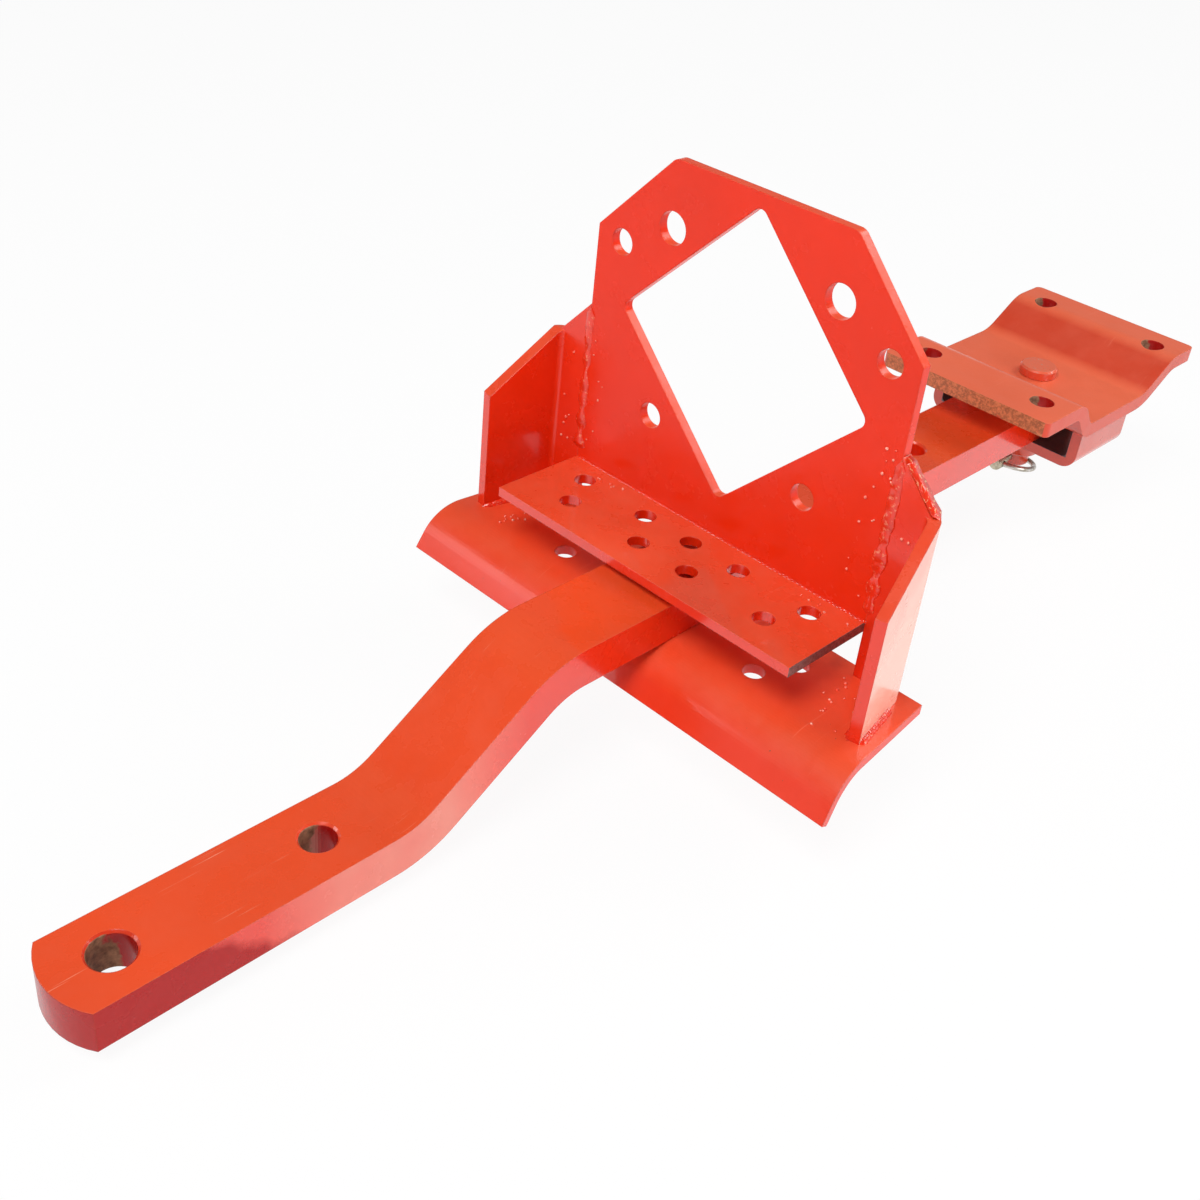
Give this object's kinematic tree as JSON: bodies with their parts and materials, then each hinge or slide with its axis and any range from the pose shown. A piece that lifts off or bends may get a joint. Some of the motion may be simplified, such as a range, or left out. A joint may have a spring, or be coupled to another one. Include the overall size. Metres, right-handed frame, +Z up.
{
  "type": "tractor swinging drawbar",
  "caption": "Swinging tractor drawbar: a cranked flat bar on a pivot pin, a welded hanger with a square window and stop pin holes, and a stepped front bracket.",
  "frame": {"origin": "centre of the hitch pin hole, at half the thickness of the bar", "axes": "+Y along the bar to the tractor, +Z up, +X to the right seen from the hitch"},
  "size_m": [0.3728, 1.0249, 0.345],
  "materials": {
    "hanger_enamel": "gloss enamel",
    "bar_enamel": "gloss enamel",
    "bracket_enamel": "worn enamel",
    "zinc_plate": "zinc plate"
  },
  "bodies": {
    "mounting": {"face_plate": "hanger_enamel", "top_plate": "hanger_enamel", "bottom_plate": "hanger_enamel", "left_side_plate": "hanger_enamel", "right_side_plate": "hanger_enamel", "weld_shelf": "hanger_enamel", "weld_left_wing": "hanger_enamel", "weld_right_wing": "hanger_enamel", "weld_left_foot": "hanger_enamel", "weld_right_foot": "hanger_enamel", "weld_left_outer": "hanger_enamel", "weld_right_outer": "hanger_enamel", "front_plate": "bracket_enamel", "strap": "bracket_enamel", "weld_strap_left": "bracket_enamel", "weld_strap_right": "bracket_enamel"},
    "bar": {"drawbar": "bar_enamel"},
    "pin": {"pivot_pin": "bracket_enamel", "linch_pin": "zinc_plate"},
    "ring": {"linch_ring": "zinc_plate"}
  },
  "joints": [
    {"name": "bar_swing", "type": "hinge", "parent": "mounting", "child": "bar", "pos_m": [0, 0.868, 0.068], "axis": [0, 0, 1], "range_deg": [-12, 12]},
    {"name": "pin_turn", "type": "hinge", "parent": "mounting", "child": "pin", "pos_m": [0, 0.868, 0.068], "axis": [0, 0, 1], "continuous": true},
    {"name": "ring_swing", "type": "hinge", "parent": "pin", "child": "ring", "pos_m": [0, 0.84, 0.0177], "axis": [1, 0, 0], "range_deg": [-100, 2]}
  ]
}
